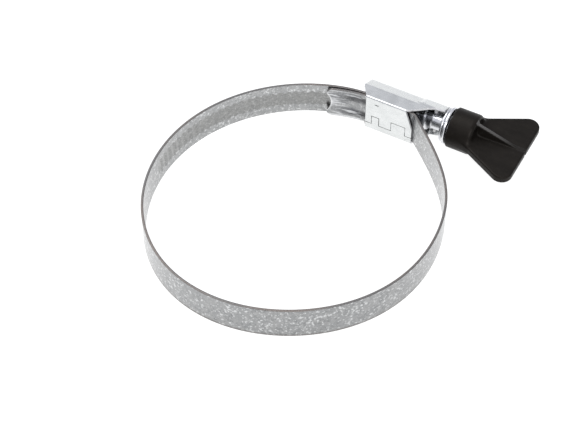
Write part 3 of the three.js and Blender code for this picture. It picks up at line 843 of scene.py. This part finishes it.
def round_edges(thing, width):
    bevel = thing.modifiers.new("edges", "BEVEL")
    bevel.width = width * MM
    bevel.segments = 2
    bevel.limit_method = "ANGLE"
    bevel.angle_limit = math.radians(50)
    bevel.harden_normals = False
    apply_modifiers(thing)


def block(x0, x1, y0, y1, z0, z1):
    corners = [(x, y, z) for x in (x0, x1) for y in (y0, y1) for z in (z0, z1)]
    faces = [(0, 1, 3, 2), (4, 6, 7, 5), (0, 4, 5, 1), (2, 3, 7, 6), (0, 2, 6, 4), (1, 5, 7, 3)]
    return corners, faces


def cut_seam(piece):
    """Grooves for the seam, its two tabs and the clinch mark, cut part of the way into the plate."""
    half = SEAM_WIDTH / 2
    runs = [PLATE_LEFT - 1, *[x for tab in SEAM_TABS for x in tab[:2]], PLATE_RIGHT + 1]
    deep, shallow = PLATE_Y + SEAM_DEPTH, PLATE_Y + SEAM_SHALLOW
    boxes = []
    for start, end in zip(runs[::2], runs[1::2]):
        boxes.append((start - half, end + half, SEAM_Z - half, SEAM_Z + half, deep))
    for (start, end, top), closing in zip(SEAM_TABS, (deep, shallow)):
        boxes.append((start - half, start + half, SEAM_Z - half, top + half, shallow))
        boxes.append((end - half, end + half, SEAM_Z - half, top + half, closing))
        boxes.append((start - half, end + half, top - half, top + half, closing))
    boxes.append((*CLINCH_MARK, PLATE_Y + CLINCH_DEPTH))
    for x0, x1, z0, z1, y1 in boxes:
        corners, faces = block(x0, x1, PLATE_Y - 1, y1, z0, z1)
        tool = make("groove", corners, faces, [SEAM_GAP])
        cut = piece.modifiers.new("groove", "BOOLEAN")
        cut.operation = "DIFFERENCE"
        cut.solver = "EXACT"
        cut.material_mode = "TRANSFER"
        cut.object = tool
        apply_modifiers(piece)
        bpy.data.objects.remove(tool)
    piece.data.set_sharp_from_angle(angle=math.radians(30))


# ---------- Screw and washer ----------

def thread_height(x, angle):
    """The thread's height over the root at a station and an angle from +Y towards +Z."""
    phase = (x - THREAD_ZERO) / PITCH - angle / (2 * math.pi)
    apart = np.abs(phase - np.round(phase)) * PITCH
    rise = np.clip((THREAD_BASE / 2 - apart) / ((THREAD_BASE - THREAD_CREST) / 2), 0, 1)
    ends = smooth((x - THREAD_FROM) / THREAD_FADE) * smooth((THREAD_TO - x) / THREAD_FADE)
    return (THREAD_RADIUS - ROOT_RADIUS) * rise * ends


def hexagon(angle, flats):
    """The radius of a hexagon at each angle."""
    sixth = math.pi / 3
    return flats / 2 / np.cos((angle + sixth / 2) % sixth - sixth / 2)


def rim_profile(low, thick):
    """The flange's rim, rounded over by the tool on both sides."""
    half = thick / 2
    inner = FLANGE_RADIUS - FLANGE_ROUND
    angles = np.linspace(0, math.pi, 11)
    return [(low + half - half * math.cos(a), inner + FLANGE_ROUND * math.sin(a)) for a in angles]


def build_screw():
    """Closed rings from tip to hexagon. The thread's rings slant with the helix, so its crests stay crisp."""
    angle = 2 * math.pi * np.arange(TURN_STEPS) / TURN_STEPS
    rings = []

    def ring(x, radius):
        x, radius = np.broadcast_to(x, angle.shape), np.broadcast_to(radius, angle.shape)
        rings.append(np.stack([x, AXIS_Y + radius * np.cos(angle), MID_Z + radius * np.sin(angle)], -1))

    before = [
        (SHANK_FROM, 1.0), (SHANK_FROM, 1.95), (SHANK_FROM + 0.12, 2.15),
        (0.8, ROOT_RADIUS), (1.4, ROOT_RADIUS),
    ]
    for x, radius in before:
        ring(x, radius)
    half = [0.8 * THREAD_CREST, THREAD_CREST, THREAD_BASE]
    stops = np.array([*[-width for width in reversed(half)], 0, *half]) / 2
    between = [THREAD_BASE / 2 + 0.1, PITCH / 2, PITCH - THREAD_BASE / 2 - 0.1]
    cycle = sorted([*stops, *between])
    first = int((THREAD_FROM - PITCH * 2) / PITCH)
    last = int((THREAD_TO + PITCH * 2) / PITCH)
    for turn in range(first, last):
        for stop in cycle:
            x = THREAD_ZERO + PITCH * turn + stop + PITCH * angle / (2 * math.pi)
            x = np.clip(x, THREAD_FROM - 0.1, THREAD_TO + 0.4)
            if np.ptp(x) > 1e-9:
                ring(x, ROOT_RADIUS + thread_height(x, angle))
    after = [
        (THREAD_TO + 0.4, ROOT_RADIUS), (THREAD_TO + 0.7, NECK_RADIUS), (NECK_TO, NECK_RADIUS),
        (NECK_TO + 0.3, SEAT_RADIUS - 0.08), (NECK_TO + 0.38, SEAT_RADIUS), (SEAT_TO, SEAT_RADIUS),
        *rim_profile(SEAT_TO, FLANGE_THICK),
    ]
    for x, radius in after:
        ring(x, radius)
    hexagonal = hexagon(angle, HEX_FLATS)
    ring(SEAT_TO + FLANGE_THICK, hexagonal)
    ring(HEX_TO - 0.4, hexagonal)
    ring(HEX_TO, np.minimum(hexagonal, HEX_FLATS / 2 - 0.1))
    # rings whose clipped points fall together are welded
    points = np.array(rings)
    faces = tube_faces(len(points), TURN_STEPS).tolist()
    for first in (0, (len(points) - 1) * TURN_STEPS):
        faces.append([first + i for i in range(TURN_STEPS)])
    piece = make("worm_screw_turned", points.reshape(-1, 3), faces, [SCREW_ZINC], None, 30)
    work = bmesh.new()
    work.from_mesh(piece.data)
    bmesh.ops.remove_doubles(work, verts=work.verts, dist=0.002 * MM)
    bmesh.ops.dissolve_degenerate(work, dist=0.001 * MM, edges=work.edges)
    work.to_mesh(piece.data)
    work.free()
    tidy(piece.data, 30)
    spots = np.empty(len(piece.data.vertices) * 3)
    piece.data.vertices.foreach_get("co", spots)
    spots = (spots.reshape(-1, 3) - ORIGIN) / MM
    radius = np.hypot(spots[:, 1] - AXIS_Y, spots[:, 2] - MID_Z)
    # painted shade for the thread's roots and the bare shank, read by the material
    deep = smooth((THREAD_RADIUS - 0.15 - radius) / 0.4)
    store(piece.data, "deep", deep * (spots[:, 0] < THREAD_TO + 0.45))
    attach(piece, "screw")
    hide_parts("worm_screw")


def build_washer():
    """A ring with all four edges rounded."""
    r = WASHER_ROUND
    low, high = WASHER_FROM, WASHER_FROM + WASHER_THICK
    profile = []
    for x, radius, from_angle in (
        (low + r, WASHER_RADIUS - r, 90), (high - r, WASHER_RADIUS - r, 0),
        (high - r, WASHER_BORE + r, -90), (low + r, WASHER_BORE + r, -180),
    ):
        for degrees in (90, 60, 30, 0):
            a = math.radians(from_angle + degrees)
            profile.append((x + r * math.cos(a), radius + r * math.sin(a)))
    angle = 2 * math.pi * np.arange(TURN_STEPS) / TURN_STEPS
    points = np.array([
        [(x, AXIS_Y + radius * math.cos(a), MID_Z + radius * math.sin(a)) for a in angle]
        for x, radius in profile
    ])
    faces = tube_faces(len(profile) + 1, TURN_STEPS) % (len(profile) * TURN_STEPS)
    piece = make("thrust_washer_pressed", points.reshape(-1, 3), faces.tolist(), [WASHER_ZINC], None, 50)
    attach(piece, "washer")
    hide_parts("thrust_washer")


# ---------- Thumb key ----------

def join(a, b, reach):
    """The union of two distance fields, with a fillet."""
    near = np.clip(reach - np.abs(a - b), 0, None) / reach
    return np.minimum(a, b) - near * near * reach / 4


def meet(a, b, reach):
    """The overlap of two distance fields, with a rounded edge."""
    return -join(-a, -b, reach)


def rounded(a, b, radius):
    """Two distances at right angles to each other, met in a round edge."""
    return np.minimum(np.maximum(a, b), 0) + np.hypot(np.maximum(a, 0), np.maximum(b, 0)) - radius


def outline_distance(x, y, corners):
    """Distance to a convex outline of [x, y] corners, negative inside."""
    best = np.full(np.shape(x), np.inf)
    inside = np.ones(np.shape(x), bool)
    for (ax, ay), (bx, by) in zip(corners, corners[1:] + corners[:1]):
        ex, ey = bx - ax, by - ay
        t = np.clip(((x - ax) * ex + (y - ay) * ey) / (ex * ex + ey * ey), 0, 1)
        best = np.minimum(best, (x - ax - t * ex) ** 2 + (y - ay - t * ey) ** 2)
        inside &= (ex * (y - ay) - ey * (x - ax)) >= 0
    return np.where(inside, -1, 1) * np.sqrt(best)


def rib_height(x):
    """The fin's height over the wing's middle, which falls from the hub to the tip."""
    return RIB_HEIGHT + (RIB_END_HEIGHT - RIB_HEIGHT) * (x - HUB_TO + 1) / (WING_TO - 0.6 - HUB_TO + 1)


def key_distance(p):
    """Distance to the thumb key: hub, tapered wing, fin and hexagon socket, all with moulded fillets."""
    x, y, z = p[..., 0], p[..., 1] - AXIS_Y, p[..., 2] - MID_Z
    radius = np.hypot(y, z)
    middle = (KEY_FROM + HUB_TO) / 2
    rounding = np.where(x > middle, HUB_ROUND, MOUTH_ROUND)
    along = np.abs(x - middle) - ((HUB_TO - KEY_FROM) / 2 - rounding)
    out = radius - (HUB_RADIUS - rounding)
    hub = rounded(along, out, rounding)
    slope = (WING_TIP - WING_ROOT) / (WING_TO - HUB_TO)
    tilt = math.atan(slope)
    tip = WING_TO - WING_CORNER
    inset = WING_CORNER / math.cos(tilt)
    tip_half = WING_ROOT + slope * (tip - HUB_TO) - inset
    root = HUB_TO - 1.2
    root_half = WING_ROOT + slope * (root - HUB_TO) - inset
    corners = [(root, -root_half), (tip, -tip_half), (tip, tip_half), (root, root_half)]
    plan = outline_distance(x, y, corners) - WING_CORNER
    thick = WING_THICK / 2 - WING_DRAFT * (x - HUB_TO)
    wing = rounded(plan + WING_EDGE, np.abs(z) - thick + WING_EDGE, WING_EDGE)
    height = rib_height(x)
    flank = (np.abs(y) - RIB_TOP / 2 - RIB_SPREAD * (height - np.abs(z))) * math.cos(math.atan(RIB_SPREAD))
    fin = meet(meet(np.abs(z) - height, flank, RIB_ROUND), HUB_TO - 2 - x, 0.5)
    fin = meet(fin, x - WING_TO + 1.5, 0.5)
    body = join(join(hub, wing, HUB_FILLET), fin, FIN_FILLET)
    hexagonal = np.maximum(np.abs(y), np.abs(z) * math.sqrt(3) / 2 + np.abs(y) / 2)
    socket = np.maximum(hexagonal - (HEX_FLATS / 2 + SOCKET_GAP), x - HEX_TO - SOCKET_GAP)
    gate = np.hypot(x - WING_TO, y) - GATE_RADIUS
    return meet(meet(body, -socket, 0.15), -gate, 0.12)


def surface_net(distance, low, high, cell):
    """Closed quads over the surface where the distance is zero, one point in each cell that it crosses."""
    axes = [np.arange(low[k], high[k] + cell, cell) for k in range(3)]
    grid = np.stack(np.meshgrid(*axes, indexing="ij"), -1)
    value = distance(grid)
    n = [size - 1 for size in value.shape]
    total, hits = np.zeros((*n, 3)), np.zeros(n)
    faces = []
    for axis in range(3):
        u, v = (axis + 1) % 3, (axis + 2) % 3
        for du in (0, 1):
            for dv in (0, 1):
                near = [slice(0, n[k]) for k in range(3)]
                near[u], near[v] = slice(du, du + n[u]), slice(dv, dv + n[v])
                far = list(near)
                far[axis] = slice(1, n[axis] + 1)
                a, b = value[tuple(near)], value[tuple(far)]
                crosses = (a < 0) != (b < 0)
                step = np.where(crosses, a / np.where(crosses, a - b, 1), 0) * cell
                spot = grid[tuple(near)].copy()
                spot[..., axis] += step
                total += spot * crosses[..., None]
                hits += crosses
    number = np.full(n, -1)
    number[hits > 0] = np.arange((hits > 0).sum())
    points = total[hits > 0] / hits[hits > 0][:, None]
    for axis in range(3):
        u, v = (axis + 1) % 3, (axis + 2) % 3
        near = [slice(1, n[k]) for k in range(3)]
        near[axis] = slice(0, n[axis])
        far = list(near)
        far[axis] = slice(1, n[axis] + 1)
        crosses = (value[tuple(near)] < 0) != (value[tuple(far)] < 0)
        spot = np.argwhere(crosses)
        spot[:, u] += 1
        spot[:, v] += 1
        ring = []
        for du, dv in ((0, 0), (1, 0), (1, 1), (0, 1)):
            near_cell = spot.copy()
            near_cell[:, u] -= du
            near_cell[:, v] -= dv
            ring.append(number[tuple(near_cell.T)])
        faces.append(np.stack(ring, 1))
    for _ in range(6):
        # each point is drawn onto the surface, down the slope of the distance
        here = distance(points)
        slope = np.stack([
            (distance(points + step) - distance(points - step)) / 0.02 for step in np.eye(3) * 0.01
        ], -1)
        move = slope * (here / np.maximum((slope ** 2).sum(-1), 0.2))[:, None]
        points = points - np.clip(move, -cell / 2, cell / 2)
    return points, np.vstack(faces).tolist()


def build_key():
    low = np.array([KEY_FROM - 0.6, AXIS_Y - 12.7, MID_Z - 5.7])
    high = np.array([WING_TO + 0.6, AXIS_Y + 12.7, MID_Z + 5.7])
    points, faces = surface_net(key_distance, low, high, KEY_CELL)
    piece = make("thumb_key_moulded", points, faces, [NYLON], None, 60)
    x, off = points[:, 0], np.abs(points[:, 2] - MID_Z)
    # painted highlight along the fin's crest, fading towards the wing's tip
    crest_highlight = smooth((off - rib_height(x) + 0.3) / 0.25) * (np.abs(points[:, 1] - AXIS_Y) < RIB_TOP)
    fade = np.interp(x, [HUB_TO, HUB_TO + 5, WING_TO - 3], [1, 0.75, 0.1])
    store(piece.data, "crest_highlight", crest_highlight * (x > HUB_TO - 0.3) * fade)
    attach(piece, "screw")
    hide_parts("thumb_key")


# ---------- Studio ----------

def build_camera():
    data = bpy.data.cameras.new("camera")
    camera = bpy.data.objects.new("camera", data)
    bpy.context.scene.collection.objects.link(camera)
    camera.location = CAMERA_PLACE
    camera.rotation_euler = (math.radians(CAMERA_PITCH), 0, math.radians(CAMERA_TURN))
    data.lens = CAMERA_LENS
    data.sensor_width = SENSOR_WIDTH
    data.clip_start = 0.01
    data.clip_end = 20
    bpy.context.scene.camera = camera


def build_floor():
    """A pale floor, tilted a little so that the clamp lies on the housing's fold and the ring's edge."""
    made = Shader("floor", (0.22, 0.22, 0.22), 0.0, 0.8)
    made.surface.inputs["Specular IOR Level"].default_value = 0.05
    made.surface.inputs["Emission Color"].default_value = (1, 1, 1, 1)
    made.surface.inputs["Emission Strength"].default_value = 0.93
    mesh = bpy.data.meshes.new("floor")
    corners = [(x * FLOOR_HALF, y * FLOOR_HALF, 0) for x, y in ((-1, -1), (1, -1), (1, 1), (-1, 1))]
    mesh.from_pydata(corners, [], [(0, 1, 2, 3)])
    mesh.materials.append(made.material)
    floor = bpy.data.objects.new("floor", mesh)
    bpy.context.scene.collection.objects.link(floor)
    lift = float(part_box("band_right_3")[0].z)
    tilt = math.atan2(lift, FOLD_Y - FRONT_Y)
    floor.rotation_euler = (-tilt, 0, 0)
    floor.location = Vector((0, 0, math.tan(tilt) * FOLD_Y - FLOOR_CLEAR))


def area_light(name, place, target, size, power, color=(1, 1, 1)):
    data = bpy.data.lights.new(name, "AREA")
    data.shape = "RECTANGLE"
    data.size, data.size_y = size
    data.energy = power
    data.color = color
    light = bpy.data.objects.new(name, data)
    bpy.context.scene.collection.objects.link(light)
    light.location = place
    aim = Vector(target) - Vector(place)
    light.rotation_euler = aim.to_track_quat("-Z", "Y").to_euler()


def build_light():
    world = bpy.data.worlds.new("studio")
    bpy.context.scene.world = world
    world.use_nodes = True
    tree = world.node_tree
    background = tree.nodes["Background"]
    background.inputs["Color"].default_value = (0.93, 0.94, 1.0, 1)
    background.inputs["Strength"].default_value = 0.75
    area_light("key_light", (-0.45, 0.1, 0.8), (0, 0, 0), (0.7, 0.7), 5.0)
    area_light("fill_light", (0.35, -0.5, 0.55), (0, 0, 0), (0.35, 0.35), 3.0)
    view = bpy.context.scene.view_settings
    view.view_transform = "Standard"


build_camera()
build_floor()
build_light()
build_band()
build_housing()
build_screw()
build_washer()
build_key()

bpy.context.view_layer.update()
